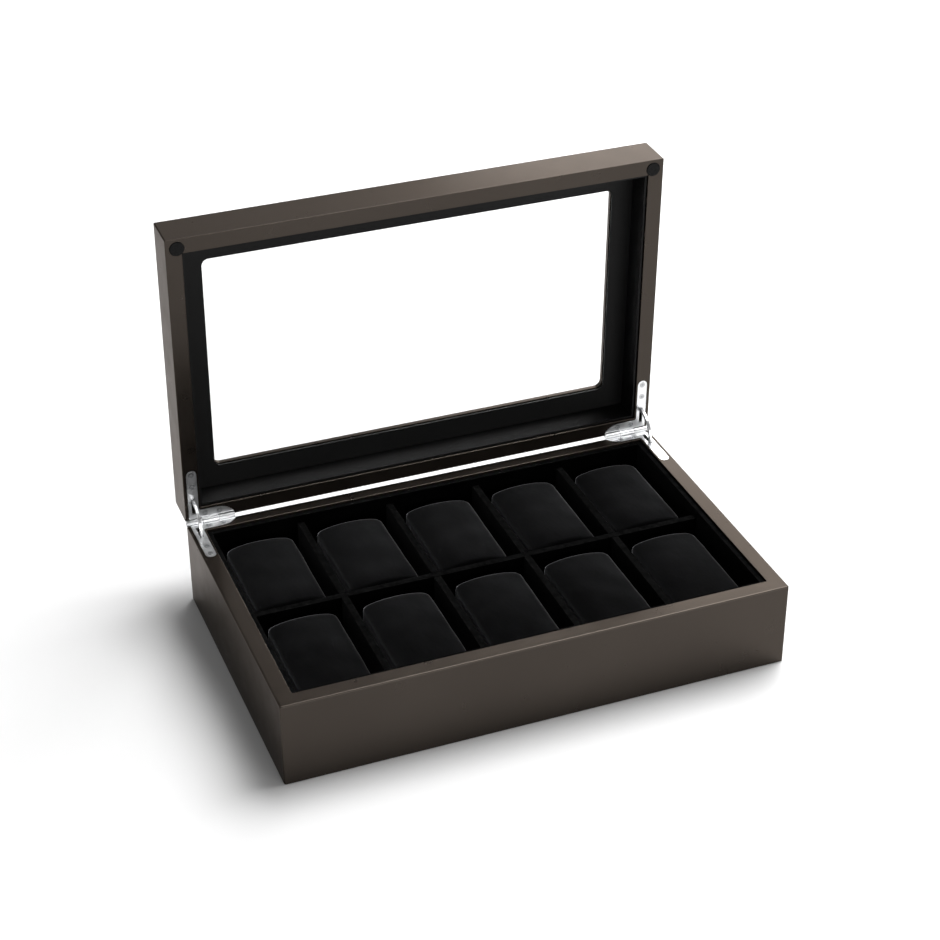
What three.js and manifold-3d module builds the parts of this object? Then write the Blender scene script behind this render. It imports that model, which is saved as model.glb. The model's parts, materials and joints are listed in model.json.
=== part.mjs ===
// Watch box: a mitred wooden case with ten lift-out velvet pillows and a glazed lid on two quadrant hinges.
// Millimetres, +Z up. The origin is the centre of the case's underside, +X is the box's right, +Y its back.
import * as THREE from "three";
import { mergeVertices } from "three/addons/utils/BufferGeometryUtils.js";
import Module from "manifold-3d";

const wasm = await Module();
wasm.setup();

// ---- Driving dimensions ----
const WIDTH = 330;
const DEPTH = 205;
const CASE_HEIGHT = 57.6;
const LID_HEIGHT = 26;
const WALL = 10.4; // wall and rim thickness of the case and the lid
const RIM_GAP = 1.2; // between the two rims when the lid is shut
const LID_OPEN = THREE.MathUtils.degToRad(88.43);
const CLEAR = 0.3; // gap between pieces that touch on the real box

const REBATE_WIDTH = 5; // the step that the bottom panel sits in
const REBATE_HEIGHT = 6;
const FELT = 1.2;
const CASE_BACK_CHAMFER = 2.1; // on the two back edges that face each other along the hinge line
const LID_BACK_CHAMFER = 0.9;

const WINDOW_INSET_X = 26.4; // from the lid's outer sides to the glass opening
const WINDOW_INSET_Y = 26.9;
const WINDOW_RADIUS = 4.5;
const LID_LINING = 1.2;
const LID_LINING_START = 1.5; // from the lid's rim to the edge of its lining
const LID_LINING_DEPTH = 19.1; // from the lid's rim to the face of the lining frame
const GLASS = 2;

const LINING = 3; // velvet-covered boards inside the case
const LINING_RECESS = 1.8; // their tops below the rim
const FLOOR_LINING = 1.5;
const COLUMNS = 5;
const DIVIDER = 4.5;
const DIVIDER_RECESS = 7;

const PILLOW_WIDTH = 46.5;
const PILLOW_LENGTH = 76;
const PILLOW_SEAM = 37.2; // height of the long edges above the pillow's underside
const PILLOW_SEAM_BEVEL = [1.5, 1]; // across and down, at each long edge
const PILLOW_CROWN = 41;
const PILLOW_ROUND = 2; // bevel round the two ends
const PILLOW_FOOT = 5; // rounding along the underside

const BARREL_RADIUS = 2.3;
const PIN_RADIUS = 0.9;
const HINGE_REACH = 32.3; // from the box's side to the inner end of the barrel
const LEAF = 1.6;
const LEG_WIDTH = 6.7;
const LEG_MIDDLE = 5.7; // from the box's side to the middle of the side leg
const LEG_TIP_STEPS = 8; // facets round the leg's end
const BACK_LEG_FRONT = 8.5; // from the pin's axis forward to the back leg's front edge
const BACK_LEG_TAPER = 13; // length of the back leg's curved end
const BACK_LEG_CURVE = [1, 0.6]; // how far the curve's handle stands off the leg's corner
const CORNER_CUT = 1; // across the corner between the two legs
const BASE_LEG_END = 41.5; // from the pin's axis forward to the leg's round end
const LID_LEG_END = 39.3;
const BASE_LEG_SCREWS = [37, 28.5]; // from the pin's axis forward
const LID_LEG_SCREWS = [36, 27];
const BACK_LEG_SCREWS = [13, 23]; // from the box's side inward
const BACK_SCREW_FORWARD = 5.4;
const UNDER_LEAF = 0.4; // room under a leaf in its mortise

const STAY_RADIUS = 16; // middle of the arc, about the pin
const STAY_WIDTH = 2.6;
const STAY_THICK = 1.5;
const STAY_TAIL = THREE.MathUtils.degToRad(11); // beyond each rim
const STAY_LUG = 1;
const STAY_LUG_START = THREE.MathUtils.degToRad(8.8);
const STAY_STEPS = 14; // facets along the arc
const SLOT_CLEAR = 0.45; // on each side of a stay in a leaf's slot
const SLOT_BACK = 6; // from the pin's axis forward to the slot's back end
const POCKET_CLEAR = 0.5; // round a stay in the wood

const SCREW_HEAD = 1.7;
const SCREW_SHANK = 0.8;
const SCREW_SINK = 1.05; // depth of the head's cone
const SCREW_LENGTH = 8;
const SCREW_POINT = 1.5;
const SCREW_SIDES = 12;
const CROSS_HALF_LENGTH = 1.1; // the driver's cross in the head
const CROSS_HALF_WIDTH = 0.22;
const CROSS_DEPTH = 0.5;

const BUMPER_RADIUS = 4.5;
const BUMPER_THICK = 1.8;
const BUMPER_PROUD = 0.5;
const BUMPER_INSET_X = 7.3; // from the lid's side and front to the bumper's middle
const BUMPER_INSET_Y = 6.6;
const BUMPER_SIDES = 24;

// ---- Places worked out from them ----
const PIN_Y = DEPTH / 2;
const PIN_Z = CASE_HEIGHT + RIM_GAP / 2;
const LID_RIM = CASE_HEIGHT + RIM_GAP;
const LID_TOP = LID_RIM + LID_HEIGHT;
const LINING_FACE = LID_RIM + LID_LINING_DEPTH;
const GLASS_BOTTOM = LINING_FACE + LID_LINING + CLEAR;
const FLANGE_BOTTOM = GLASS_BOTTOM + GLASS + CLEAR;
const INSIDE_X = WIDTH / 2 - WALL; // inner faces of the wood
const INSIDE_Y = DEPTH / 2 - WALL;
const FITTED_X = INSIDE_X - CLEAR; // outer faces of what is fitted between them
const FITTED_Y = INSIDE_Y - CLEAR;
const PANEL_X = FITTED_X + REBATE_WIDTH;
const PANEL_Y = FITTED_Y + REBATE_WIDTH;
const LINED_X = FITTED_X - LINING; // inner faces of the lining boards
const LINED_Y = FITTED_Y - LINING;
const BETWEEN_X = LINED_X - CLEAR; // ends of what is fitted between the lining boards
const BETWEEN_Y = LINED_Y - CLEAR;
const FLOOR_TOP = REBATE_HEIGHT + FLOOR_LINING;
const STANDING = FLOOR_TOP + CLEAR; // underside of what stands on the floor lining
const LINING_TOP = CASE_HEIGHT - LINING_RECESS;
const DIVIDER_TOP = CASE_HEIGHT - DIVIDER_RECESS;
const LAP = (STANDING + DIVIDER_TOP) / 2; // height where the dividers are halved into each other
const CELL_WIDTH = (2 * LINED_X - (COLUMNS - 1) * DIVIDER) / COLUMNS;
const CELL_LENGTH = LINED_Y - DIVIDER / 2;
const STAY_INNER = STAY_RADIUS - STAY_WIDTH / 2;
const STAY_OUTER = STAY_RADIUS + STAY_WIDTH / 2;
const FAR = 400; // longer than any piece, for the solids that cut
const OVER = 1; // how far a cutting solid passes the face that it cuts

const HANDS = { left: -1, right: 1 }; // a side of the box: -1 at the left and 1 at the right
const BASE = -1; // which way a hinge leaf's wood lies from the pin: down for the case, up for the lid
const LID = 1;

const LACQUER = { color: 0x4c423e, roughness: 0.38, metalness: 0.45 };
const CHROME = { color: 0xdfe1e3, roughness: 0.12, metalness: 1 };
const VELVET = { color: 0x0c0c0d, roughness: 0.95, metalness: 0 };
const LEATHERETTE = { color: 0x111111, roughness: 0.45, metalness: 0 };
const GLAZING = { color: 0xe6eeee, roughness: 0.03, metalness: 0, transparent: true, opacity: 0.2 };
const RUBBER = { color: 0x101010, roughness: 0.8, metalness: 0 };
const FELTING = { color: 0x151515, roughness: 1, metalness: 0 };

// ---- Solids: geometry in, joined or cut solid out ----
function solid(geometry) {
  const bare = geometry.clone();
  bare.deleteAttribute("normal");
  bare.deleteAttribute("uv");
  const merged = mergeVertices(bare, 1e-4);
  return new wasm.Manifold(
    new wasm.Mesh({
      numProp: 3,
      vertProperties: merged.attributes.position.array,
      triVerts: new Uint32Array(merged.index.array),
    }),
  );
}

function geometryOf(body) {
  const mesh = body.getMesh();
  const geometry = new THREE.BufferGeometry();
  geometry.setAttribute("position", new THREE.BufferAttribute(mesh.vertProperties, 3));
  geometry.setIndex(new THREE.BufferAttribute(mesh.triVerts, 1));
  geometry.computeVertexNormals();
  return geometry;
}

function cutAll(body, cuts) {
  let left = body;
  for (const cut of cuts) {
    left = left.subtract(cut);
  }
  return left;
}

function block(low, high) {
  const size = high.map((h, i) => h - low[i]);
  const middle = high.map((h, i) => (h + low[i]) / 2);
  return solid(new THREE.BoxGeometry(...size).translate(...middle));
}

// A round bar along Z from z0 to z1; its radius can differ at the two ends.
function round(x, y, z0, z1, radius0, radius1 = radius0, sides = SCREW_SIDES) {
  const bar = new THREE.CylinderGeometry(radius1, radius0, z1 - z0, sides);
  bar.rotateX(Math.PI / 2);
  return solid(bar.translate(x, y, (z0 + z1) / 2));
}

// A round bar along the hinge line.
function axle(x0, x1, radius, sides = 20) {
  const bar = new THREE.CylinderGeometry(radius, radius, x1 - x0, sides);
  bar.rotateZ(Math.PI / 2);
  return solid(bar.translate((x0 + x1) / 2, PIN_Y, PIN_Z));
}

// An outline in X and Y, raised from z0 to z1.
function plate(shape, z0, z1, curveSegments = 8) {
  const raised = new THREE.ExtrudeGeometry(shape, { depth: z1 - z0, bevelEnabled: false, curveSegments });
  return solid(raised.translate(0, 0, z0));
}

function outline(points) {
  return new THREE.Shape(points.map(([x, y]) => new THREE.Vector2(x, y)));
}

// An outline in Y and Z, drawn out along X from x0 to x1.
const ALONG_X = new THREE.Matrix4().makeBasis(
  new THREE.Vector3(0, 1, 0),
  new THREE.Vector3(0, 0, 1),
  new THREE.Vector3(1, 0, 0),
);
function drawn(points, x0, x1) {
  const bar = new THREE.ExtrudeGeometry(outline(points), { depth: x1 - x0, bevelEnabled: false });
  return bar.applyMatrix4(ALONG_X).translate(x0, 0, 0);
}

// ---- Frame sides: one profile on all four sides, mitred where they meet ----
const SIDES = {
  front: { turn: 0, length: WIDTH, away: DEPTH / 2 },
  right: { turn: Math.PI / 2, length: DEPTH, away: WIDTH / 2 },
  back: { turn: Math.PI, length: WIDTH, away: DEPTH / 2 },
  left: { turn: -Math.PI / 2, length: DEPTH, away: WIDTH / 2 },
};

// profile is a list of [inward from the outer face, height].
function mitredSide(profile, { turn, length, away }) {
  const deep = Math.max(...profile.map(([inward]) => inward));
  const end = length / 2 - (CLEAR / 2) * Math.SQRT2;
  const bar = drawn(profile, -length / 2, length / 2);
  const corners = outline([
    [-end, 0],
    [end, 0],
    [end - deep, deep],
    [deep - end, deep],
  ]);
  const trapezium = new THREE.ExtrudeGeometry(corners, { depth: 2 * FAR, bevelEnabled: false });
  trapezium.translate(0, 0, -FAR);
  const place = (geometry) => solid(geometry.translate(0, -away, 0).rotateZ(turn));
  return place(bar).intersect(place(trapezium));
}

// The bevel along a back edge, over the whole width. z is the rim; the wood lies from there towards up.
function backBevel(z, up) {
  const reach = (up === BASE ? CASE_BACK_CHAMFER : LID_BACK_CHAMFER) + OVER;
  const points = [
    [PIN_Y + OVER, z - up * OVER],
    [PIN_Y - reach, z - up * OVER],
    [PIN_Y + OVER, z + up * reach],
  ];
  return solid(drawn(points, -FAR, FAR));
}

// ---- Hinges ----
const span = (a, b) => [Math.min(a, b), Math.max(a, b)];
const fromSide = (side, inward) => side * (WIDTH / 2 - inward);
const spanFromSide = (side, from, to) => span(fromSide(side, from), fromSide(side, to));
const staySpan = (side, clear) =>
  spanFromSide(side, LEG_MIDDLE - STAY_THICK / 2 - clear, LEG_MIDDLE + STAY_THICK / 2 + clear);
const leafFace = (up) => PIN_Z + (up * RIM_GAP) / 2; // the leaf's face, flush with its rim
const leafBack = (up) => leafFace(up) + up * LEAF;
const KNUCKLE_FRONT = PIN_Y - BARREL_RADIUS - 2 * CLEAR; // where the leaf's plate meets its knuckles

// The L-shaped leaf seen from above, grown all round by grow.
function leafOutline(side, up, grow) {
  const across = (inward) => fromSide(side, inward);
  const legEnd = up === BASE ? BASE_LEG_END : LID_LEG_END;
  const half = LEG_WIDTH / 2 + grow;
  const inner = LEG_MIDDLE + half;
  const reach = HINGE_REACH + grow;
  const tip = PIN_Y - legEnd - grow;
  const front = PIN_Y - BACK_LEG_FRONT - grow;
  const back = PIN_Y - BARREL_RADIUS - CLEAR;
  const [curveAcross, curveBack] = BACK_LEG_CURVE;
  const shape = new THREE.Shape();
  shape.moveTo(across(LEG_MIDDLE - half), back);
  for (let i = 0; i <= LEG_TIP_STEPS; i++) {
    const angle = (Math.PI * i) / LEG_TIP_STEPS;
    shape.lineTo(across(LEG_MIDDLE - half * Math.cos(angle)), tip + half - half * Math.sin(angle));
  }
  shape.lineTo(across(inner), front - CORNER_CUT);
  shape.lineTo(across(inner + CORNER_CUT), front);
  shape.lineTo(across(HINGE_REACH - BACK_LEG_TAPER), front);
  shape.quadraticCurveTo(across(reach - curveAcross), front + curveBack, across(reach), back);
  shape.closePath();
  return shape;
}

// Screw places on one leaf: [x, y].
function screwPlaces(side, up) {
  const forwards = up === BASE ? BASE_LEG_SCREWS : LID_LEG_SCREWS;
  const leg = forwards.map((forward) => [fromSide(side, LEG_MIDDLE), PIN_Y - forward]);
  const back = BACK_LEG_SCREWS.map((inward) => [fromSide(side, inward), PIN_Y - BACK_SCREW_FORWARD]);
  return [...leg, ...back];
}

// The base leaf has the two outer knuckles and the lid leaf the middle one.
function knuckleSpans(up) {
  const third = HINGE_REACH / 3;
  const outerTwo = [
    [0, third - CLEAR / 2],
    [2 * third + CLEAR / 2, HINGE_REACH],
  ];
  return up === BASE ? outerTwo : [[third + CLEAR / 2, 2 * third - CLEAR / 2]];
}

function leaf(side, up) {
  const [low, high] = span(leafFace(up), leafBack(up));
  let body = plate(leafOutline(side, up, 0), low, high);
  for (const [from, to] of knuckleSpans(up)) {
    const plateFrom = Math.max(from, LEG_MIDDLE - LEG_WIDTH / 2);
    const [tab0, tab1] = spanFromSide(side, plateFrom, to);
    body = body.add(block([tab0, KNUCKLE_FRONT, low], [tab1, PIN_Y, high]));
    body = body.add(axle(...spanFromSide(side, from, to), BARREL_RADIUS));
  }
  const bore = axle(-WIDTH / 2 - OVER, WIDTH / 2 + OVER, PIN_RADIUS + CLEAR);
  const [slot0, slot1] = staySpan(side, SLOT_CLEAR);
  const slotFront = PIN_Y - STAY_OUTER - CLEAR;
  const slot = block([slot0, slotFront, low - OVER], [slot1, PIN_Y - SLOT_BACK, high + OVER]);
  const cuts = [bore, slot];
  const face = leafFace(up);
  const neck = face + up * SCREW_SINK;
  const wide = SCREW_HEAD + CLEAR;
  const narrow = SCREW_SHANK + CLEAR;
  for (const [x, y] of screwPlaces(side, up)) {
    cuts.push(round(x, y, low - OVER, high + OVER, narrow));
    cuts.push(up === BASE ? round(x, y, neck, face, narrow, wide) : round(x, y, face, neck, wide, narrow));
  }
  return cutAll(body, cuts);
}

// What a leaf, its screws and its stay need cut out of the wood.
function hingeCuts(side, up) {
  const open = leafFace(up) - up * OVER;
  const [low, high] = span(open, leafBack(up) + up * UNDER_LEAF);
  const [barrel0, barrel1] = spanFromSide(side, -OVER, HINGE_REACH + CLEAR);
  const cuts = [
    plate(leafOutline(side, up, CLEAR), low, high),
    block([barrel0, KNUCKLE_FRONT, low], [barrel1, PIN_Y + OVER, high]),
  ];
  const [shank0, shank1] = span(open, leafFace(up) + up * (SCREW_LENGTH + OVER));
  for (const [x, y] of screwPlaces(side, up)) {
    cuts.push(round(x, y, shank0, shank1, SCREW_SHANK + CLEAR));
  }
  const reach = STAY_OUTER + STAY_LUG;
  const swing = LID_OPEN / 2 + STAY_TAIL;
  const [pocket0, pocket1] = staySpan(side, POCKET_CLEAR);
  const [z0, z1] = span(open, PIN_Z + up * (reach * Math.sin(swing) + POCKET_CLEAR));
  const pocketBack = PIN_Y - STAY_INNER * Math.cos(swing) + POCKET_CLEAR;
  cuts.push(block([pocket0, PIN_Y - reach - CLEAR, z0], [pocket1, pocketBack, z1]));
  return cuts;
}

// The curved arm that joins the leaves: an arc about the pin with a lug at each end, drawn for the shut lid.
function stay(side) {
  const half = LID_OPEN / 2 + STAY_TAIL;
  const lugAt = LID_OPEN / 2 + STAY_LUG_START;
  const lugRadius = STAY_OUTER + STAY_LUG;
  const at = (radius, angle) => [PIN_Y - radius * Math.cos(angle), PIN_Z + radius * Math.sin(angle)];
  const points = [at(lugRadius, -half), at(lugRadius, -lugAt)];
  for (let i = 0; i <= STAY_STEPS; i++) {
    points.push(at(STAY_OUTER, lugAt * ((2 * i) / STAY_STEPS - 1)));
  }
  points.push(at(lugRadius, lugAt), at(lugRadius, half));
  for (let i = 0; i <= STAY_STEPS; i++) {
    points.push(at(STAY_INNER, half * (1 - (2 * i) / STAY_STEPS)));
  }
  return solid(drawn(points, ...staySpan(side, 0)));
}

// Countersunk screw with a cross in its head, its face at z = 0.
function screw(up) {
  const profile = [
    [0, -SCREW_LENGTH],
    [SCREW_SHANK, SCREW_POINT - SCREW_LENGTH],
    [SCREW_SHANK, -SCREW_SINK],
    [SCREW_HEAD, 0],
    [0, 0],
  ];
  const turned = new THREE.LatheGeometry(outline(profile).getPoints(), SCREW_SIDES);
  const along = [CROSS_HALF_LENGTH, CROSS_HALF_WIDTH];
  const across = [CROSS_HALF_WIDTH, CROSS_HALF_LENGTH];
  const grooves = [along, across].map(([x, y]) => block([-x, -y, -CROSS_DEPTH], [x, y, OVER]));
  const geometry = geometryOf(cutAll(solid(turned.rotateX(Math.PI / 2)), grooves));
  return up === BASE ? geometry : geometry.rotateX(Math.PI);
}

// ---- Case ----
const CASE_PROFILE = [
  [0, 0],
  [WALL - REBATE_WIDTH, 0],
  [WALL - REBATE_WIDTH, REBATE_HEIGHT],
  [WALL, REBATE_HEIGHT],
  [WALL, CASE_HEIGHT],
  [0, CASE_HEIGHT],
];

function caseBoard(name) {
  const cuts = [backBevel(CASE_HEIGHT, BASE)];
  for (const side of Object.values(HANDS)) {
    cuts.push(...hingeCuts(side, BASE));
  }
  return cutAll(mitredSide(CASE_PROFILE, SIDES[name]), cuts);
}

// ---- Lid, drawn shut ----
function roundedWindow(low, high) {
  const x = WIDTH / 2 - WINDOW_INSET_X - WINDOW_RADIUS;
  const y = DEPTH / 2 - WINDOW_INSET_Y - WINDOW_RADIUS;
  const shape = new THREE.Shape();
  shape.absarc(x, -y, WINDOW_RADIUS, -Math.PI / 2, 0);
  shape.absarc(x, y, WINDOW_RADIUS, 0, Math.PI / 2);
  shape.absarc(-x, y, WINDOW_RADIUS, Math.PI / 2, Math.PI);
  shape.absarc(-x, -y, WINDOW_RADIUS, Math.PI, 1.5 * Math.PI);
  return plate(shape, low, high, 6);
}

const FLANGE_REACH = WINDOW_INSET_Y + WINDOW_RADIUS;
const LID_PROFILE = [
  [0, LID_RIM],
  [WALL, LID_RIM],
  [WALL, FLANGE_BOTTOM],
  [FLANGE_REACH, FLANGE_BOTTOM],
  [FLANGE_REACH, LID_TOP],
  [0, LID_TOP],
];

const bumperPlace = (side) => [fromSide(side, BUMPER_INSET_X), BUMPER_INSET_Y - DEPTH / 2];

function lidRail(name) {
  const bumperTop = LID_RIM - BUMPER_PROUD + BUMPER_THICK + CLEAR;
  const socket = BUMPER_RADIUS + CLEAR;
  const cuts = [roundedWindow(FLANGE_BOTTOM - OVER, LID_TOP + OVER), backBevel(LID_RIM, LID)];
  for (const side of Object.values(HANDS)) {
    cuts.push(...hingeCuts(side, LID));
    cuts.push(round(...bumperPlace(side), LID_RIM - OVER, bumperTop, socket, socket, BUMPER_SIDES));
  }
  return cutAll(mitredSide(LID_PROFILE, SIDES[name]), cuts);
}

// The black lining: thin walls inside the rails and a frame round the glass, in one tray.
function lidLining() {
  const low = LID_RIM + LID_LINING_START;
  const body = block([-FITTED_X, -FITTED_Y, low], [FITTED_X, FITTED_Y, LINING_FACE + LID_LINING]);
  const hollow = block(
    [LID_LINING - FITTED_X, LID_LINING - FITTED_Y, low - OVER],
    [FITTED_X - LID_LINING, FITTED_Y - LID_LINING, LINING_FACE],
  );
  return cutAll(body, [hollow, roundedWindow(LINING_FACE - OVER, LINING_FACE + LID_LINING + OVER)]);
}

// ---- Pillow: an arched section drawn out along Y, with bevelled ends, standing on z = 0 ----
function pillow() {
  const half = PILLOW_WIDTH / 2;
  const [seamAcross, seamDown] = PILLOW_SEAM_BEVEL;
  const shape = new THREE.Shape();
  shape.moveTo(PILLOW_FOOT - half, 0);
  shape.lineTo(half - PILLOW_FOOT, 0);
  shape.quadraticCurveTo(half, 0, half, PILLOW_FOOT);
  shape.lineTo(half, PILLOW_SEAM - seamDown);
  shape.lineTo(half - seamAcross, PILLOW_SEAM);
  shape.quadraticCurveTo(0, 2 * PILLOW_CROWN - PILLOW_SEAM, seamAcross - half, PILLOW_SEAM);
  shape.lineTo(-half, PILLOW_SEAM - seamDown);
  shape.lineTo(-half, PILLOW_FOOT);
  shape.quadraticCurveTo(-half, 0, PILLOW_FOOT - half, 0);
  const body = new THREE.ExtrudeGeometry(shape, {
    depth: PILLOW_LENGTH - 2 * PILLOW_ROUND,
    curveSegments: 6,
    bevelEnabled: true,
    bevelThickness: PILLOW_ROUND,
    bevelSize: PILLOW_ROUND,
    bevelOffset: -PILLOW_ROUND,
    bevelSegments: 1,
  });
  body.translate(0, 0, PILLOW_ROUND - PILLOW_LENGTH / 2);
  return geometryOf(solid(body.rotateX(Math.PI / 2)));
}

// ---- Assembly: the lid's pieces and the stays are drawn shut and turned open about the pins ----
function turnedAboutPin(parent, angle) {
  const turn = new THREE.Group();
  const pieces = new THREE.Group();
  turn.position.set(0, PIN_Y, PIN_Z);
  turn.rotation.x = -angle;
  pieces.position.set(0, -PIN_Y, -PIN_Z);
  parent.add(turn);
  turn.add(pieces);
  return pieces;
}

const box = new THREE.Group();
const lid = turnedAboutPin(box, LID_OPEN);
const stays = turnedAboutPin(box, LID_OPEN / 2);

function add(group, name, shape, look, place = [0, 0, 0]) {
  const geometry = shape.isBufferGeometry ? shape : geometryOf(shape);
  const mesh = new THREE.Mesh(geometry, new THREE.MeshStandardMaterial(look));
  mesh.name = name;
  mesh.position.set(...place);
  group.add(mesh);
}

// Wooden case and lid, and the case's bottom.
for (const name of Object.keys(SIDES)) {
  add(box, `base_${name}_board`, caseBoard(name), LACQUER);
  add(lid, `lid_${name}_rail`, lidRail(name), LACQUER);
}
const PANEL_LOW = [-PANEL_X, -PANEL_Y, FELT + CLEAR];
const PANEL_HIGH = [PANEL_X, PANEL_Y, REBATE_HEIGHT - CLEAR];
add(box, "base_felt", block([-PANEL_X, -PANEL_Y, 0], [PANEL_X, PANEL_Y, FELT]), FELTING);
add(box, "base_bottom_panel", block(PANEL_LOW, PANEL_HIGH), LACQUER);

// Velvet lining of the case.
const LININGS = {
  floor: block([-FITTED_X, -FITTED_Y, REBATE_HEIGHT], [FITTED_X, FITTED_Y, FLOOR_TOP]),
  left: block([-FITTED_X, -FITTED_Y, STANDING], [-LINED_X, FITTED_Y, LINING_TOP]),
  right: block([LINED_X, -FITTED_Y, STANDING], [FITTED_X, FITTED_Y, LINING_TOP]),
  front: block([-BETWEEN_X, -FITTED_Y, STANDING], [BETWEEN_X, -LINED_Y, LINING_TOP]),
  back: block([-BETWEEN_X, LINED_Y, STANDING], [BETWEEN_X, FITTED_Y, LINING_TOP]),
};
for (const [name, shape] of Object.entries(LININGS)) {
  add(box, `lining_${name}`, shape, VELVET);
}

// Dividers, half-lapped where they cross.
const NOTCH = DIVIDER / 2 + CLEAR;
const crossNotches = [];
for (let i = 1; i < COLUMNS; i++) {
  const x = i * (CELL_WIDTH + DIVIDER) - DIVIDER / 2 - LINED_X;
  const long = block([x - DIVIDER / 2, -BETWEEN_Y, STANDING], [x + DIVIDER / 2, BETWEEN_Y, DIVIDER_TOP]);
  const notch = block([x - FAR, -NOTCH, LAP - CLEAR / 2], [x + FAR, NOTCH, FAR]);
  add(box, `divider_${i}`, long.subtract(notch), VELVET);
  crossNotches.push(block([x - NOTCH, -FAR, -FAR], [x + NOTCH, FAR, LAP + CLEAR / 2]));
}
const cross = block([-BETWEEN_X, -DIVIDER / 2, STANDING], [BETWEEN_X, DIVIDER / 2, DIVIDER_TOP]);
add(box, "divider_cross", cutAll(cross, crossNotches), VELVET);

// Pillows: row 1 is the front row, column 1 the left column.
const ROWS = { 1: -1, 2: 1 };
for (const [row, toBack] of Object.entries(ROWS)) {
  for (let column = 1; column <= COLUMNS; column++) {
    const x = (column - (COLUMNS + 1) / 2) * (CELL_WIDTH + DIVIDER);
    const y = (toBack * (CELL_LENGTH + DIVIDER)) / 2;
    add(box, `pillow_${row}_${column}`, pillow(), VELVET, [x, y, STANDING]);
  }
}

// Hinges, with their pins, stays and screws.
function addLeaf(group, part, hand, up) {
  const side = HANDS[hand];
  add(group, `hinge_${part}_leaf_${hand}`, leaf(side, up), CHROME);
  screwPlaces(side, up).forEach(([x, y], i) => {
    add(group, `screw_${part}_${hand}_${i + 1}`, screw(up), CHROME, [x, y, leafFace(up)]);
  });
}

for (const [hand, side] of Object.entries(HANDS)) {
  addLeaf(box, "base", hand, BASE);
  addLeaf(lid, "lid", hand, LID);
  add(box, `hinge_pin_${hand}`, axle(...spanFromSide(side, CLEAR, HINGE_REACH - CLEAR), PIN_RADIUS), CHROME);
  add(stays, `stay_${hand}`, stay(side), CHROME);
}

// Glazing, lining and bumpers of the lid.
const GLASS_LOW = [-FITTED_X, -FITTED_Y, GLASS_BOTTOM];
const GLASS_HIGH = [FITTED_X, FITTED_Y, GLASS_BOTTOM + GLASS];
add(lid, "lid_glass", block(GLASS_LOW, GLASS_HIGH), GLAZING);
add(lid, "lid_lining", lidLining(), LEATHERETTE);
for (const [hand, side] of Object.entries(HANDS)) {
  const low = LID_RIM - BUMPER_PROUD;
  const high = low + BUMPER_THICK;
  const disc = round(...bumperPlace(side), low, high, BUMPER_RADIUS, BUMPER_RADIUS, BUMPER_SIDES);
  add(lid, `bumper_${hand}`, disc, RUBBER);
}

export default box;
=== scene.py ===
import json
import math

import bmesh
import bpy
from mathutils import Matrix, Vector, kdtree, noise


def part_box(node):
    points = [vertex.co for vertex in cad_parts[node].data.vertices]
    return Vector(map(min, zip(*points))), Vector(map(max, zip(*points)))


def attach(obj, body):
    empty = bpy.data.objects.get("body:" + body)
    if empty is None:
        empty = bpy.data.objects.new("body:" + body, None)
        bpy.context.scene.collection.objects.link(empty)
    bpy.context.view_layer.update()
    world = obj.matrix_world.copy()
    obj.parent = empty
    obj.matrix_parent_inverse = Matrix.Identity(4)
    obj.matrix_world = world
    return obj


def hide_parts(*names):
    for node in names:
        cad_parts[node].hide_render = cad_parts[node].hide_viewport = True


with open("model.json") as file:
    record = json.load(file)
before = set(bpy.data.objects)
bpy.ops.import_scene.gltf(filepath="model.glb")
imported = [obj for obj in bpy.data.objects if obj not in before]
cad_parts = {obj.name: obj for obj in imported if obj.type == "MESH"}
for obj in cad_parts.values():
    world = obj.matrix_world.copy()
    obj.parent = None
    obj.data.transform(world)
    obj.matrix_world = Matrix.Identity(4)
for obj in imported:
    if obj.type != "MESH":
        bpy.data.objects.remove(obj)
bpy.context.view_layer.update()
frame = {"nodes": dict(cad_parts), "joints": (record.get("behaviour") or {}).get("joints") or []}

MM = 0.001
HANDS = {"left": -1, "right": 1}
SIDES = ("front", "back", "left", "right")
PILLOWS = [f"pillow_{row}_{column}" for row in (1, 2) for column in (1, 2, 3, 4, 5)]

# ---- Sizes that the frame's boxes don't give ----
WALL = 10.4 * MM
REBATE_WIDTH = 5 * MM
CASE_EDGE = 1.0 * MM  # rounding of the lacquered outer edges
LID_EDGE = 0.35 * MM
INNER_EDGE = 0.35 * MM
CASE_CORNER = 1.3 * MM  # rounding of the upright corners
LID_CORNER = 0.8 * MM
CASE_BACK_CHAMFER = 2.1 * MM
LID_BACK_CHAMFER = 0.9 * MM
WINDOW_INSET_X = 26.4 * MM  # from the lid's outer sides to the glass opening
WINDOW_INSET_Y = 26.9 * MM
WINDOW_RADIUS = 4.5 * MM
CLEAR = 0.3 * MM  # gap round a piece that is let into the wood
LEG_WIDTH = 6.7 * MM
LEG_MIDDLE = 5.7 * MM  # from the box's side to the middle of the hinge's side leg
BACK_LEG_FRONT = 8.5 * MM  # from the pin's axis forward
BACK_LEG_TAPER = 6 * MM
BARREL_RADIUS = 2.3 * MM
MORTISE_DEEP = 2 * MM
STAY_INNER = 7.35 * MM  # the pocket runs from here to STAY_REACH in front of the pin
STAY_REACH = 18.3 * MM
STAY_HALF_SLOT = 1.25 * MM
BUMPER_RADIUS = 4.5 * MM
OVER = 1 * MM  # how far a cutting shape passes the face that it cuts
CORNER_STEPS = 5  # facets round an upright corner
SHARP_ANGLE = math.radians(35)  # edges sharper than this stay sharp

# Bevels on the pieces that are kept from the frame
BOARD_BEVEL = 0.3 * MM
LINING_BEVEL = 1.25 * MM
DIVIDER_BEVEL = 1.6 * MM
GLASS_BEVEL = 0.2 * MM
BUMPER_BEVEL = 0.35 * MM
STAY_BEVEL = 0.12 * MM
PIN_BEVEL = 0.08 * MM
LEAF_BEVEL = 0.10 * MM
SCREW_BEVEL = 0.05 * MM

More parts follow.
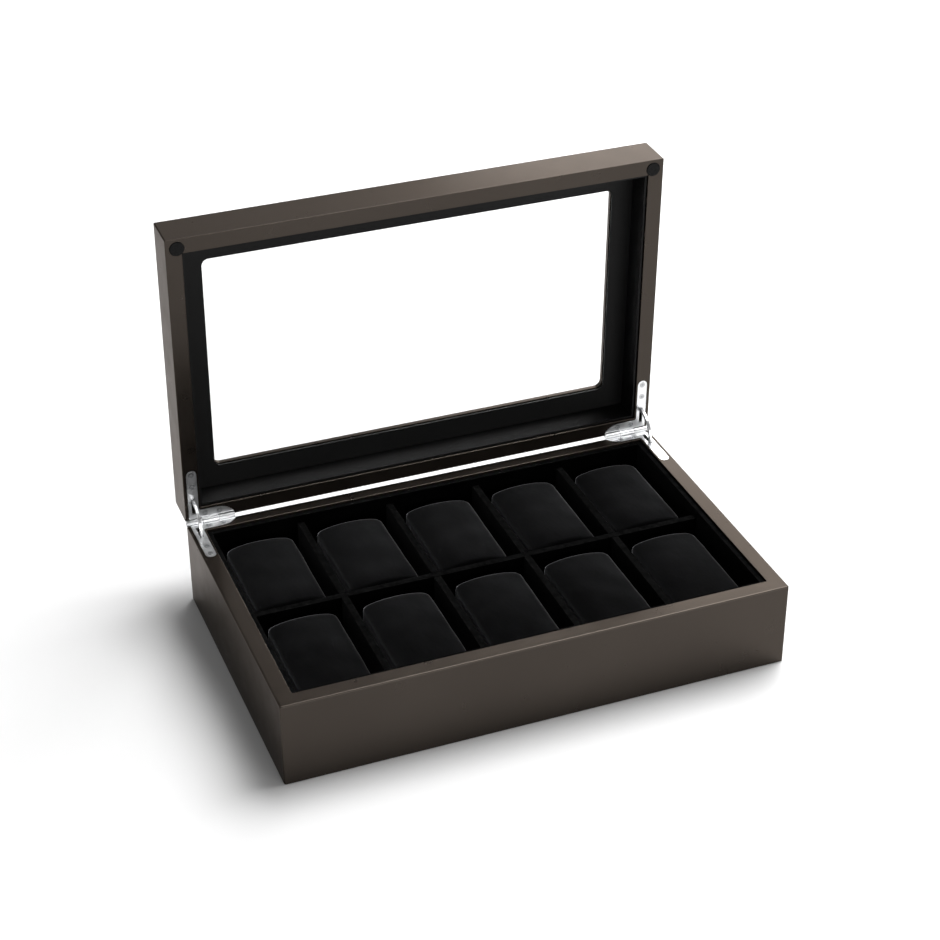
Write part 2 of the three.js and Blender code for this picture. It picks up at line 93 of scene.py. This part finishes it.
# ---- Camera ----
CAMERA_PLACE = Vector((-0.42071, -1.05831, 0.82929))
CAMERA_FORWARD = Vector((0.308805, 0.791073, -0.528056)).normalized()
CAMERA_RIGHT = Vector((0.931071, -0.364832, -0.002062)).normalized()
LENS = 83.0
SENSOR = 36
CLIPPING = (0.05, 50)


def make_camera():
    data = bpy.data.cameras.new("camera")
    data.lens = LENS
    data.sensor_width = SENSOR
    data.clip_start, data.clip_end = CLIPPING
    camera = bpy.data.objects.new("camera", data)
    bpy.context.scene.collection.objects.link(camera)
    up = CAMERA_RIGHT.cross(CAMERA_FORWARD)
    turn = Matrix((CAMERA_RIGHT, up, -CAMERA_FORWARD)).transposed().to_4x4()
    camera.matrix_world = Matrix.Translation(CAMERA_PLACE) @ turn
    bpy.context.scene.camera = camera


make_camera()

# ---- The lid's turn: its pieces are drawn shut and turned open ----
hinge = next(joint for joint in frame["joints"] if joint["name"] == "lid_hinge")
PIN = Vector(hinge["pos_m"])
LID_OPEN = math.radians(-hinge["range_deg"][0])
OPENED = Matrix.Translation(PIN) @ Matrix.Rotation(-LID_OPEN, 4, "X") @ Matrix.Translation(-PIN)
SHUT = OPENED.inverted()


def box_of(nodes, turn=None):
    """Lowest and highest corner of several CAD nodes, first turned if turn is given."""
    points = [vertex.co for node in nodes for vertex in frame["nodes"][node].data.vertices]
    if turn is not None:
        points = [turn @ point for point in points]
    low = Vector([min(point[axis] for point in points) for axis in range(3)])
    high = Vector([max(point[axis] for point in points) for axis in range(3)])
    return low, high


case_low, case_high = box_of([f"base_{side}_board" for side in SIDES])
lid_low, lid_high = box_of([f"lid_{side}_rail" for side in SIDES], SHUT)
HALF_X = case_high.x
HALF_Y = case_high.y
REBATE_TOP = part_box("lining_floor")[0].z
FLANGE_BOTTOM = box_of(["lid_glass"], SHUT)[1].z + CLEAR
WINDOW_X = HALF_X - WINDOW_INSET_X
WINDOW_Y = HALF_Y - WINDOW_INSET_Y
HINGE_REACH = HALF_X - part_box("hinge_base_leaf_right")[0].x


# ---- Materials ----
MIX_FIRST, MIX_SECOND, MIX_RESULT = 6, 7, 2  # the colour sockets of a Mix node


def grey(value):
    return (value, value, value)


class Nodes:
    """A material's node tree, with short calls to add and join nodes."""

    def __init__(self, name):
        self.material = bpy.data.materials.new(name)
        self.material.use_nodes = True
        self.tree = self.material.node_tree
        self.shader = self.tree.nodes["Principled BSDF"]
        self.place = self.add("ShaderNodeTexCoord").outputs["Object"]

    def add(self, kind, **values):
        node = self.tree.nodes.new(kind)
        for name, value in values.items():
            if name in node.inputs:
                node.inputs[name].default_value = value
            else:
                setattr(node, name, value)
        return node

    def join(self, output, target):
        self.tree.links.new(output, target)

    def noise(self, scale, detail=3.0, rough=0.5, stretch=None):
        """Noise with that many features to the metre, closer together along an axis with a larger stretch."""
        node = self.add("ShaderNodeTexNoise", Scale=scale, Detail=detail, Roughness=rough)
        source = self.place
        if stretch is not None:
            mapping = self.add("ShaderNodeMapping", Scale=stretch)
            self.join(source, mapping.inputs["Vector"])
            source = mapping.outputs["Vector"]
        self.join(source, node.inputs["Vector"])
        return node.outputs["Fac"]

    def cells(self, scale):
        """Pebbled cells, that many to the metre."""
        node = self.add("ShaderNodeTexVoronoi", Scale=scale)
        self.join(self.place, node.inputs["Vector"])
        return node.outputs["Distance"]

    def ramp(self, value, stops):
        """Turns a value into greys or colours, through stops of (position, grey or colour)."""
        node = self.add("ShaderNodeValToRGB")
        elements = node.color_ramp.elements
        while len(elements) < len(stops):
            elements.new(0.5)
        for element, (position, colour) in zip(elements, stops):
            element.position = position
            element.color = (*(colour if isinstance(colour, tuple) else grey(colour)), 1.0)
        self.join(value, node.inputs["Fac"])
        return node.outputs["Color"]

    def bump(self, height, strength, distance, under=None):
        """A bumped normal, on top of another one if under is given."""
        node = self.add("ShaderNodeBump", Strength=strength, Distance=distance)
        self.join(height, node.inputs["Height"])
        if under is not None:
            self.join(under, node.inputs["Normal"])
        return node.outputs["Normal"]

    def set(self, **values):
        """Sets the shader's own sockets."""
        for name, value in values.items():
            self.shader.inputs[name.replace("_", " ")].default_value = value

    def feed(self, name, output):
        """Joins an output to one of the shader's sockets."""
        self.join(output, self.shader.inputs[name])


def lacquer():
    """Dark bronze satin lacquer: metal flake under a thin clear coat, with a faint orange peel."""
    made = Nodes("lacquer")
    made.feed("Base Color", made.ramp(made.noise(9), [(0.3, (0.045, 0.037, 0.031)), (0.7, (0.052, 0.043, 0.036))]))
    made.feed("Roughness", made.ramp(made.noise(60, 4), [(0.3, 0.27), (0.7, 0.33)]))
    flakes = made.bump(made.noise(4200, 1), 0.05, 0.05 * MM)
    made.feed("Normal", made.bump(made.noise(420, 2), 0.05, 0.08 * MM, flakes))
    made.set(Metallic=0.95, Specular_Tint=(0.58, 0.55, 0.53, 1.0), Coat_Weight=0.08, Coat_Roughness=0.12)
    return made.material


def velvet(name, dark, light, sheen, painted_top_light=None):
    """Short black velvet: a nap in streaks along Y and a sheen at its edges; the optional pair of greys paints the
    upward-facing tops lighter, as painted light from above.
    """
    made = Nodes(name)
    nap = made.noise(55, 4, 0.6, (1.0, 0.35, 1.0))
    colour = made.ramp(nap, [(0.3, (dark, dark, dark * 1.04)), (0.72, (light, light, light * 1.05))])
    if painted_top_light:
        # Painted light: faces that point up get lighter greys in patches, blended in by how far the normal points
        # up, as if lit from above.
        top_light_grey = made.ramp(made.noise(260, 5, 0.7), [(0.32, painted_top_light[0]), (0.68, painted_top_light[1])])
        upward = made.add("ShaderNodeSeparateXYZ")
        made.join(made.add("ShaderNodeTexCoord").outputs["Normal"], upward.inputs["Vector"])
        blend = made.add("ShaderNodeMix", data_type="RGBA")
        made.join(made.ramp(upward.outputs["Z"], [(0.35, 0.0), (0.95, 1.0)]), blend.inputs["Factor"])
        made.join(colour, blend.inputs[MIX_FIRST])
        made.join(top_light_grey, blend.inputs[MIX_SECOND])
        colour = blend.outputs[MIX_RESULT]
    made.feed("Base Color", colour)
    made.feed("Roughness", made.ramp(nap, [(0.3, 0.88), (0.7, 1.0)]))
    pile = made.bump(made.noise(2600, 3, 0.7), 0.3, 0.15 * MM)
    made.feed("Normal", made.bump(nap, 0.5, 0.8 * MM, pile))
    made.set(Sheen_Weight=sheen, Sheen_Roughness=0.3, Sheen_Tint=(0.84, 0.85, 0.88, 1.0), Specular_IOR_Level=0.0)
    return made.material


def leatherette():
    """Black semi-gloss leatherette with a fine pebbled grain."""
    made = Nodes("leatherette")
    made.feed("Base Color", made.ramp(made.noise(30, 4), [(0.3, 0.0013), (0.7, 0.0027)]))
    made.feed("Roughness", made.ramp(made.cells(1100), [(0.0, 0.42), (0.6, 0.55)]))
    made.feed("Normal", made.bump(made.cells(1300), 0.22, 0.06 * MM))
    made.set(Specular_IOR_Level=0.16)
    return made.material


def chrome(name, dark, light):
    """Polished chrome with very light handling marks."""
    made = Nodes(name)
    made.feed("Base Color", made.ramp(made.noise(120, 3), [(0.3, dark), (0.7, light)]))
    made.feed("Roughness", made.ramp(made.noise(150, 3), [(0.35, 0.28), (0.75, 0.34)]))
    made.feed("Normal", made.bump(made.noise(300, 2), 0.02, 0.02 * MM))
    made.set(Metallic=1.0)
    return made.material


def rubber():
    """Black rubber with a moulded texture."""
    made = Nodes("rubber")
    made.feed("Base Color", made.ramp(made.noise(300, 3), [(0.3, 0.0015), (0.7, 0.004)]))
    made.feed("Roughness", made.ramp(made.noise(900, 3), [(0.3, 0.65), (0.7, 0.85)]))
    made.feed("Normal", made.bump(made.cells(1500), 0.6, 0.15 * MM))
    made.set(Specular_IOR_Level=0.2)
    return made.material


def felt():
    """Pressed black felt: a matted mesh of fibres."""
    made = Nodes("felt")
    fibres = made.noise(900, 6, 0.8, (1.0, 0.4, 1.0))
    made.feed("Base Color", made.ramp(fibres, [(0.3, 0.007), (0.7, 0.020)]))
    made.feed("Roughness", made.ramp(fibres, [(0.3, 0.9), (0.7, 1.0)]))
    made.feed("Normal", made.bump(fibres, 0.7, 0.3 * MM))
    made.set(Sheen_Weight=0.2)
    return made.material


def stained_board():
    """Bottom board, stained black, with its grain along X."""
    made = Nodes("stained_board")
    grain = made.noise(90, 6, 0.6, (0.08, 1.0, 1.0))
    made.feed("Base Color", made.ramp(grain, [(0.3, (0.018, 0.016, 0.015)), (0.7, (0.040, 0.036, 0.034))]))
    made.feed("Roughness", made.ramp(grain, [(0.3, 0.6), (0.7, 0.8)]))
    made.feed("Normal", made.bump(grain, 0.2, 0.2 * MM))
    return made.material


def glass():
    """Clear float glass, the least bit green."""
    made = Nodes("glass")
    made.feed("Base Color", made.ramp(made.noise(5, 1), [(0.3, (0.985, 0.995, 0.992)), (0.7, (1.0, 1.0, 1.0))]))
    made.set(Roughness=0.0, IOR=1.5, Transmission_Weight=1.0)
    return made.material


LACQUER = lacquer()
# The lining's tops carry painted light: lighter greys on the faces that point up.
LINING_VELVET = velvet("lining_velvet", 0.0005, 0.0012, 0.08, painted_top_light=(0.0008, 0.0060))
PILLOW_VELVET = velvet("pillow_velvet", 0.0006, 0.0026, 0.95)
LEATHERETTE = leatherette()
CHROME = chrome("chrome", (0.80, 0.81, 0.82), (0.88, 0.885, 0.89))
SCREW_CHROME = chrome("screw_chrome", (0.55, 0.56, 0.57), (0.64, 0.65, 0.66))  # duller than the leaves
RUBBER = rubber()
FELT = felt()
STAINED = stained_board()
GLASS = glass()


# ---- Mesh helpers ----
def mesh_object(name, bm, material):
    mesh = bpy.data.meshes.new(name)
    bmesh.ops.recalc_face_normals(bm, faces=bm.faces)
    bm.to_mesh(mesh)
    bm.free()
    mesh.materials.append(material)
    made = bpy.data.objects.new(name, mesh)
    bpy.context.scene.collection.objects.link(made)
    return made


def shade_smooth(mesh):
    mesh.polygons.foreach_set("use_smooth", [True] * len(mesh.polygons))


def weight_normals(piece):
    """Keeps large flat faces looking flat beside rounded edges."""
    modifier = piece.modifiers.new("weighted", "WEIGHTED_NORMAL")
    modifier.keep_sharp = True


def arc(centre, radius, start, end, steps=4):
    """Points on an arc, as pairs; angles in degrees."""
    angles = [math.radians(start + (end - start) * i / steps) for i in range(steps + 1)]
    return [(centre[0] + radius * math.cos(a), centre[1] + radius * math.sin(a)) for a in angles]


def ring(half_x, half_y, radius, z):
    """A level rectangle with round corners, as a loop of points."""
    x = half_x - radius
    y = half_y - radius
    corners = [((x, -y), -90), ((x, y), 0), ((-x, y), 90), ((-x, -y), 180)]
    return [
        (*point, z)
        for centre, start in corners
        for point in arc(centre, radius, start, start + 90, CORNER_STEPS)
    ]


def loft(name, rings, material):
    """A closed tube of quads through the rings, the last joined to the first."""
    bm = bmesh.new()
    loops = [[bm.verts.new(point) for point in points] for points in rings]
    for loop, following in zip(loops, loops[1:] + loops[:1]):
        for i, corner in enumerate(loop):
            after = (i + 1) % len(loop)
            bm.faces.new((corner, loop[after], following[after], following[i]))
    return mesh_object(name, bm, material)


def framed(profile, corner):
    """Rings for a profile of (inward, height) round all four sides, with round upright corners."""
    return [ring(HALF_X - d, HALF_Y - d, max(corner - d, INNER_EDGE), z) for d, z in profile]


def prism(outline, low, high, axis="Z"):
    """A closed shape with that outline: X and Y raised along Z, or Y and Z drawn along X."""
    bm = bmesh.new()
    ends = []
    for level in (low, high):
        points = [(a, b, level) if axis == "Z" else (level, a, b) for a, b in outline]
        ends.append([bm.verts.new(point) for point in points])
    bm.faces.new(ends[0])
    bm.faces.new(ends[1])
    for i in range(len(outline)):
        after = (i + 1) % len(outline)
        bm.faces.new((ends[0][i], ends[0][after], ends[1][after], ends[1][i]))
    return mesh_object("cutter", bm, LACQUER)


def rectangle(x0, x1, y0, y1):
    return [(x0, y0), (x1, y0), (x1, y1), (x0, y1)]


def cut(piece, cutters):
    """Takes the cutters out of the piece, one after the other, and removes them."""
    for cutter in cutters:
        modifier = piece.modifiers.new("cut", "BOOLEAN")
        modifier.object = cutter
        modifier.operation = "DIFFERENCE"
        modifier.solver = "EXACT"
    settle(piece)
    for cutter in cutters:
        bpy.data.objects.remove(cutter)


def settle(piece):
    """Applies the piece's modifiers."""
    graph = bpy.context.evaluated_depsgraph_get()
    mesh = bpy.data.meshes.new_from_object(piece.evaluated_get(graph))
    piece.modifiers.clear()
    piece.data = mesh


# ---- Lacquered case and lid: each is one skin over its four mitred sides ----
def leaf_outline(side, leg_end):
    """The mortise for a hinge leaf: a side leg with a round end, and a tapered back leg."""
    half = LEG_WIDTH / 2 + CLEAR
    tip = leg_end - CLEAR + half
    front = PIN.y - BACK_LEG_FRONT - CLEAR
    back = PIN.y - BARREL_RADIUS - CLEAR
    points = [(LEG_MIDDLE - half, back)]
    points += arc((LEG_MIDDLE, tip), half, 180, 360, 12)
    points += [(LEG_MIDDLE + half, front - OVER), (LEG_MIDDLE + half + OVER, front)]
    points += [(HINGE_REACH - BACK_LEG_TAPER, front), (HINGE_REACH + CLEAR, back)]
    return [(side * (HALF_X - inward), y) for inward, y in points]


def hinge_cutters(up, rim, leg_end):
    """The mortises, barrel troughs and stay pockets at both hinges; up is -1 in the case and 1 in the lid."""
    cutters = []
    for side in HANDS.values():
        low, high = sorted((rim - up * OVER, rim + up * MORTISE_DEEP))
        cutters.append(prism(leaf_outline(side, leg_end), low, high))
        x0, x1 = sorted((side * (HALF_X + OVER), side * (HALF_X - HINGE_REACH - CLEAR)))
        cutters.append(prism(rectangle(x0, x1, PIN.y - BARREL_RADIUS - 2 * CLEAR, PIN.y + OVER), low, high))
        middle = side * (HALF_X - LEG_MIDDLE)
        pocket_low, pocket_high = sorted((rim - up * OVER, PIN.z + up * STAY_REACH))
        slot = (middle - STAY_HALF_SLOT, middle + STAY_HALF_SLOT, PIN.y - STAY_REACH - CLEAR, PIN.y - STAY_INNER)
        cutters.append(prism(rectangle(*slot), pocket_low, pocket_high))
    return cutters


def back_bevel(rim, up, chamfer):
    """The chamfer on the back edge at the hinge line."""
    reach = chamfer + OVER
    points = [(PIN.y + OVER, rim - up * OVER), (PIN.y - reach, rim - up * OVER), (PIN.y + OVER, rim + up * reach)]
    return prism(points, -2 * HALF_X, 2 * HALF_X, "X")


def make_case():
    top = case_high.z
    foot = CASE_EDGE / 2
    profile = arc((foot, foot), foot, 270, 180)
    profile += arc((CASE_EDGE, top - CASE_EDGE), CASE_EDGE, 180, 90, 6)
    profile += arc((WALL - INNER_EDGE, top - INNER_EDGE), INNER_EDGE, 90, 0, 2)
    profile += [(WALL, REBATE_TOP), (WALL - REBATE_WIDTH, REBATE_TOP), (WALL - REBATE_WIDTH, 0)]
    piece = loft("case_shell", framed(profile, CASE_CORNER), LACQUER)
    leg_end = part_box("hinge_base_leaf_left")[0].y
    cut(piece, [back_bevel(top, -1, CASE_BACK_CHAMFER), *hinge_cutters(-1, top, leg_end)])
    shade_smooth(piece.data)
    piece.data.set_sharp_from_angle(angle=SHARP_ANGLE)
    weight_normals(piece)
    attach(piece, "base")
    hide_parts(*[f"base_{side}_board" for side in SIDES])


def make_lid():
    rim = lid_low.z
    top = lid_high.z
    edge = INNER_EDGE
    rings = framed(
        arc((LID_EDGE, top - LID_EDGE), LID_EDGE, 90, 180)
        + arc((LID_EDGE, rim + LID_EDGE), LID_EDGE, 180, 270)
        + arc((WALL - edge, rim + edge), edge, 270, 360, 2)
        + [(WALL, FLANGE_BOTTOM)],
        LID_CORNER,
    )
    rings.append(ring(WINDOW_X, WINDOW_Y, WINDOW_RADIUS, FLANGE_BOTTOM))
    for inward, z in arc((-edge, top - edge), edge, 0, 90, 2):
        grow = -inward
        rings.append(ring(WINDOW_X + grow, WINDOW_Y + grow, WINDOW_RADIUS + grow, z))
    piece = loft("lid_shell", rings, LACQUER)
    leg_end = box_of(["hinge_lid_leaf_left"], SHUT)[0].y
    cutters = [back_bevel(rim, 1, LID_BACK_CHAMFER), *hinge_cutters(1, rim, leg_end)]
    for hand in HANDS:
        low, high = box_of([f"bumper_{hand}"], SHUT)
        centre = ((low.x + high.x) / 2, (low.y + high.y) / 2)
        cutters.append(prism(arc(centre, BUMPER_RADIUS + CLEAR, 0, 350, 35), rim - OVER, high.z + CLEAR))
    cut(piece, cutters)
    piece.data.transform(OPENED)
    shade_smooth(piece.data)
    piece.data.set_sharp_from_angle(angle=SHARP_ANGLE)
    weight_normals(piece)
    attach(piece, "lid")
    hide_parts(*[f"lid_{side}_rail" for side in SIDES])


make_case()
make_lid()


# ---- CAD nodes that stay: their material, and a fine bevel on their edges ----
def dress(node, material, bevel, segments=2):
    piece = frame["nodes"][node]
    piece.data.materials.clear()
    piece.data.materials.append(material)
    shade_smooth(piece.data)
    piece.data.set_sharp_from_angle(angle=SHARP_ANGLE)
    modifier = piece.modifiers.new("bevel", "BEVEL")
    modifier.width = bevel
    modifier.segments = segments
    modifier.limit_method = "ANGLE"
    modifier.angle_limit = SHARP_ANGLE
    modifier.use_clamp_overlap = True
    weight_normals(piece)


dress("base_felt", FELT, BOARD_BEVEL)
dress("base_bottom_panel", STAINED, BOARD_BEVEL)
dress("lining_floor", LINING_VELVET, BOARD_BEVEL)
for side in SIDES:
    dress(f"lining_{side}", LINING_VELVET, LINING_BEVEL, 4)
for divider in ("1", "2", "3", "4", "cross"):
    dress(f"divider_{divider}", LINING_VELVET, DIVIDER_BEVEL, 4)
dress("lid_lining", LEATHERETTE, BOARD_BEVEL)
dress("lid_glass", GLASS, GLASS_BEVEL)
frame["nodes"]["lid_glass"].visible_shadow = False  # clear glass lets the light through
for hand in HANDS:
    dress(f"bumper_{hand}", RUBBER, BUMPER_BEVEL, 3)
    dress(f"stay_{hand}", CHROME, STAY_BEVEL)
    dress(f"hinge_pin_{hand}", CHROME, PIN_BEVEL)
    for part in ("base", "lid"):
        dress(f"hinge_{part}_leaf_{hand}", CHROME, LEAF_BEVEL)
        for number in (1, 2, 3, 4):
            dress(f"screw_{part}_{hand}_{number}", SCREW_CHROME, SCREW_BEVEL)

# ---- Pillows: velvet panels sewn along seams, swollen by cloth simulation ----
HALF_WIDTH = 22.7 * MM  # to the seams along the two long sides
HALF_LENGTH = 37.3 * MM
SEAM_HEIGHT = 36.6 * MM
ARCH = 3.5 * MM  # how far the top seam rises at the middle of each end
ARCH_POWER = 2.3
PLAN_ROUND = 4 * MM  # the four upright corners, seen from above
FOOT = 5 * MM
ACROSS, ALONG = 14, 22  # panel squares across and along
LEVELS = [0, 0.02, 0.06, 0.13, 0.25, 0.4, 0.55, 0.7, 0.83, 0.93, 1]  # up the sides, as parts of the height
SEAM_CREASE = 0.12
VOXEL = 4 * MM
START_SCALE = 0.985
SWELL_CAP = 1.3 * MM
SEAM_HOLDS = 9 * MM  # how far from a seam the stitching still holds the velvet in
NEIGHBOURS = 10
SIMULATED_FRAMES = 20
CLOTH_QUALITY = 5
CLOTH_MASS = 0.2
CLOTH_STIFFNESS = 20
CLOTH_BENDING = 2
CLOTH_PRESSURE = 4
DENT = 0.6 * MM  # how uneven the stuffing is before it swells
DENT_SCALE = 45
DENT_SEED = (3.7, 1.9, 5.3)  # where each pillow's noise starts, times its number
SLACK = 0.35 * MM  # how loosely the velvet lies
SLACK_SCALE = 60
SLACK_SEED = (2.3, 4.1, 0.7)
TWIST = math.radians(0.45)  # the most that a pillow is turned in its place
TWIST_STEP = 2.4
TINY = 1e-9


def smoothstep(value):
    t = min(max(value, 0.0), 1.0)
    return t * t * (3 - 2 * t)


def swollen(node, number):
    """Swells a copy of the CAD pillow by cloth pressure; returns where its points were and how they moved."""
    low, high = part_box(node)
    centre = (low + high) / 2
    piece = bpy.data.objects.new("swelling", frame["nodes"][node].data.copy())
    bpy.context.scene.collection.objects.link(piece)
    piece.data.transform(Matrix.Translation(centre) @ Matrix.Scale(START_SCALE, 4) @ Matrix.Translation(-centre))
    modifier = piece.modifiers.new("remesh", "REMESH")
    modifier.mode = "VOXEL"
    modifier.voxel_size = VOXEL
    settle(piece)
    seed = Vector([number * step for step in DENT_SEED])
    for vertex in piece.data.vertices:
        vertex.co += vertex.normal * DENT * noise.noise(vertex.co * DENT_SCALE + seed)
    before = [vertex.co.copy() for vertex in piece.data.vertices]
    modifier = piece.modifiers.new("cloth", "CLOTH")
    cloth = modifier.settings
    cloth.quality = CLOTH_QUALITY
    cloth.mass = CLOTH_MASS
    cloth.tension_stiffness = CLOTH_STIFFNESS
    cloth.compression_stiffness = CLOTH_STIFFNESS
    cloth.bending_stiffness = CLOTH_BENDING
    cloth.use_pressure = True
    cloth.uniform_pressure_force = CLOTH_PRESSURE
    cloth.effector_weights.gravity = 0
    modifier.point_cache.frame_start = 1
    modifier.point_cache.frame_end = SIMULATED_FRAMES
    scene = bpy.context.scene
    for frame_number in range(1, SIMULATED_FRAMES + 1):
        scene.frame_set(frame_number)
    settle(piece)
    scene.frame_set(1)
    moves = []
    for vertex, start in zip(piece.data.vertices, before):
        move = vertex.co - start
        moves.append(move * min(1.0, SWELL_CAP / max(move.length, TINY)))
    bpy.data.objects.remove(piece)
    return before, moves


def panel_point(u, v, level):
    """A point on the unswollen pillow; u and v run from -1 to 1, and level from 0 to 1 up the side."""
    arch = ARCH * (1 - abs(u) ** ARCH_POWER)
    z = level * (SEAM_HEIGHT + arch)
    inset = 0.0
    if z < FOOT:
        inset = FOOT * (1 - math.sqrt(1 - ((FOOT - z) / FOOT) ** 2))
    half_x = HALF_WIDTH - inset
    half_y = HALF_LENGTH - inset
    x = half_x * u
    y = half_y * v
    corner = (abs(x) - half_x + PLAN_ROUND, abs(y) - half_y + PLAN_ROUND)
    if min(corner) > 0:
        shrink = max(corner) / math.hypot(*corner)
        x = math.copysign(half_x - PLAN_ROUND + corner[0] * shrink, x)
        y = math.copysign(half_y - PLAN_ROUND + corner[1] * shrink, y)
    return Vector((x, y, z))


def panels(bm):
    """Six sewn panels as a closed grid; returns its points by place in the grid."""
    top = len(LEVELS) - 1
    points = {}
    for i in range(ACROSS + 1):
        for j in range(ALONG + 1):
            for k in range(top + 1):
                if i in (0, ACROSS) or j in (0, ALONG) or k in (0, top):
                    u = 2 * i / ACROSS - 1
                    v = 2 * j / ALONG - 1
                    points[i, j, k] = bm.verts.new(panel_point(u, v, LEVELS[k]))
    for i in range(ACROSS):
        for j in range(ALONG):
            for k in (0, top):
                square = ((i, j, k), (i + 1, j, k), (i + 1, j + 1, k), (i, j + 1, k))
                bm.faces.new([points[corner] for corner in square])
        for k in range(top):
            for j in (0, ALONG):
                square = ((i, j, k), (i + 1, j, k), (i + 1, j, k + 1), (i, j, k + 1))
                bm.faces.new([points[corner] for corner in square])
    for j in range(ALONG):
        for k in range(top):
            for i in (0, ACROSS):
                square = ((i, j, k), (i, j + 1, k), (i, j + 1, k + 1), (i, j, k + 1))
                bm.faces.new([points[corner] for corner in square])
    return points


def top_seam():
    """The grid places round the top panel, in order."""
    top = len(LEVELS) - 1
    places = [(i, 0, top) for i in range(ACROSS)] + [(ACROSS, j, top) for j in range(ALONG)]
    places += [(i, ALONG, top) for i in range(ACROSS, 0, -1)] + [(0, j, top) for j in range(ALONG, 0, -1)]
    return places


def tree_of(places):
    tree = kdtree.KDTree(len(places))
    for index, place in enumerate(places):
        tree.insert(place, index)
    tree.balance()
    return tree


def swell(bm, node, number, seam):
    """Moves the panels as the simulated velvet moved near them, held in by the stitches of the seam."""
    before, moves = swollen(node, number)
    tree = tree_of(before)
    stitches = tree_of([corner.co for corner in seam])
    for vertex in bm.verts:
        near = tree.find_n(vertex.co, NEIGHBOURS)
        move = sum((moves[index] for _, index, _ in near), Vector()) / NEIGHBOURS
        held = stitches.find(vertex.co)[2] / SEAM_HOLDS
        vertex.co += move * smoothstep(held)


def make_pillow(node, number):
    low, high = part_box(node)
    middle = Vector(((low.x + high.x) / 2, (low.y + high.y) / 2, low.z))
    bm = bmesh.new()
    points = panels(bm)
    seam = [points[place] for place in top_seam()]
    crease = bm.edges.layers.float.new("crease_edge")
    for corner, following in zip(seam, seam[1:] + seam[:1]):
        bm.edges.get((corner, following))[crease] = SEAM_CREASE
    twist = Matrix.Rotation(TWIST * math.sin(number * TWIST_STEP), 4, "Z")
    bm.transform(Matrix.Translation(middle) @ twist)
    bm.normal_update()
    swell(bm, node, number, seam)
    seed = Vector([number * step for step in SLACK_SEED])
    for vertex in bm.verts:
        vertex.co += vertex.normal * SLACK * noise.noise(vertex.co * SLACK_SCALE + seed)
    for vertex in bm.verts:
        vertex.co = [min(max(value, a), b) for value, a, b in zip(vertex.co, low, high)]
    piece = mesh_object(f"{node}_velvet", bm, PILLOW_VELVET)
    shade_smooth(piece.data)
    modifier = piece.modifiers.new("subdivide", "SUBSURF")
    modifier.levels = 1
    modifier.render_levels = 1
    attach(piece, node)
    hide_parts(node)


for number, node in enumerate(PILLOWS):
    make_pillow(node, number)


# ---- Floor and light ----
FLOOR_SIZE = 12
FLOOR_DROP = 0.2 * MM  # keeps the floor clear of the box's underside
HORIZON_LIGHT = 0.85
SKY_LIGHT = 0.13
SWEEP = (0.04, 0.34)  # the heights between which the horizon's light fades to the sky's


def make_floor():
    made = Nodes("floor_paint")
    made.feed("Base Color", made.ramp(made.noise(1.5, 2), [(0.3, (0.90, 0.90, 0.90)), (0.7, (0.93, 0.93, 0.93))]))
    made.set(Roughness=0.9, Specular_IOR_Level=0.0)
    bm = bmesh.new()
    bmesh.ops.create_grid(bm, x_segments=1, y_segments=1, size=FLOOR_SIZE)
    floor = mesh_object("floor", bm, made.material)
    floor.location.z = -FLOOR_DROP


def make_light(name, place, aim, size, power):
    data = bpy.data.lights.new(name, "AREA")
    data.shape = "RECTANGLE"
    data.size, data.size_y = size
    data.energy = power
    light = bpy.data.objects.new(name, data)
    light.location = place
    light.rotation_euler = (Vector(aim) - Vector(place)).to_track_quat("-Z", "Y").to_euler()
    bpy.context.scene.collection.objects.link(light)


def make_world():
    """A white studio sweep: bright round the horizon and dim overhead."""
    world = bpy.data.worlds.new("studio")
    world.use_nodes = True
    tree = world.node_tree
    background = tree.nodes["Background"]
    background.inputs["Color"].default_value = (1.0, 1.0, 1.0, 1.0)
    direction = tree.nodes.new("ShaderNodeTexCoord")
    upward = tree.nodes.new("ShaderNodeSeparateXYZ")
    fade = tree.nodes.new("ShaderNodeMapRange")
    fade.interpolation_type = "SMOOTHSTEP"
    fade.inputs["From Min"].default_value, fade.inputs["From Max"].default_value = SWEEP
    fade.inputs["To Min"].default_value = HORIZON_LIGHT
    fade.inputs["To Max"].default_value = SKY_LIGHT
    tree.links.new(direction.outputs["Generated"], upward.inputs["Vector"])
    tree.links.new(upward.outputs["Z"], fade.inputs["Value"])
    tree.links.new(fade.outputs["Result"], background.inputs["Strength"])
    bpy.context.scene.world = world


make_floor()
make_world()
make_light("overhead", place=(0.9, 0.45, 1.9), aim=(0, 0, 0), size=(1.5, 1.5), power=64)
make_light("back_right", place=(1.4, 1.9, 1.1), aim=(0, 0, 0.1), size=(1.3, 0.6), power=15)
make_light("backdrop", place=(0.9, 2.6, 1.2), aim=(0, 0, 0.1), size=(1.6, 1.6), power=8)
make_light("front_low", place=(0.3, -1.9, 0.3), aim=(0, 0, 0.1), size=(1.8, 0.5), power=16)
bpy.context.scene.view_settings.view_transform = "Standard"
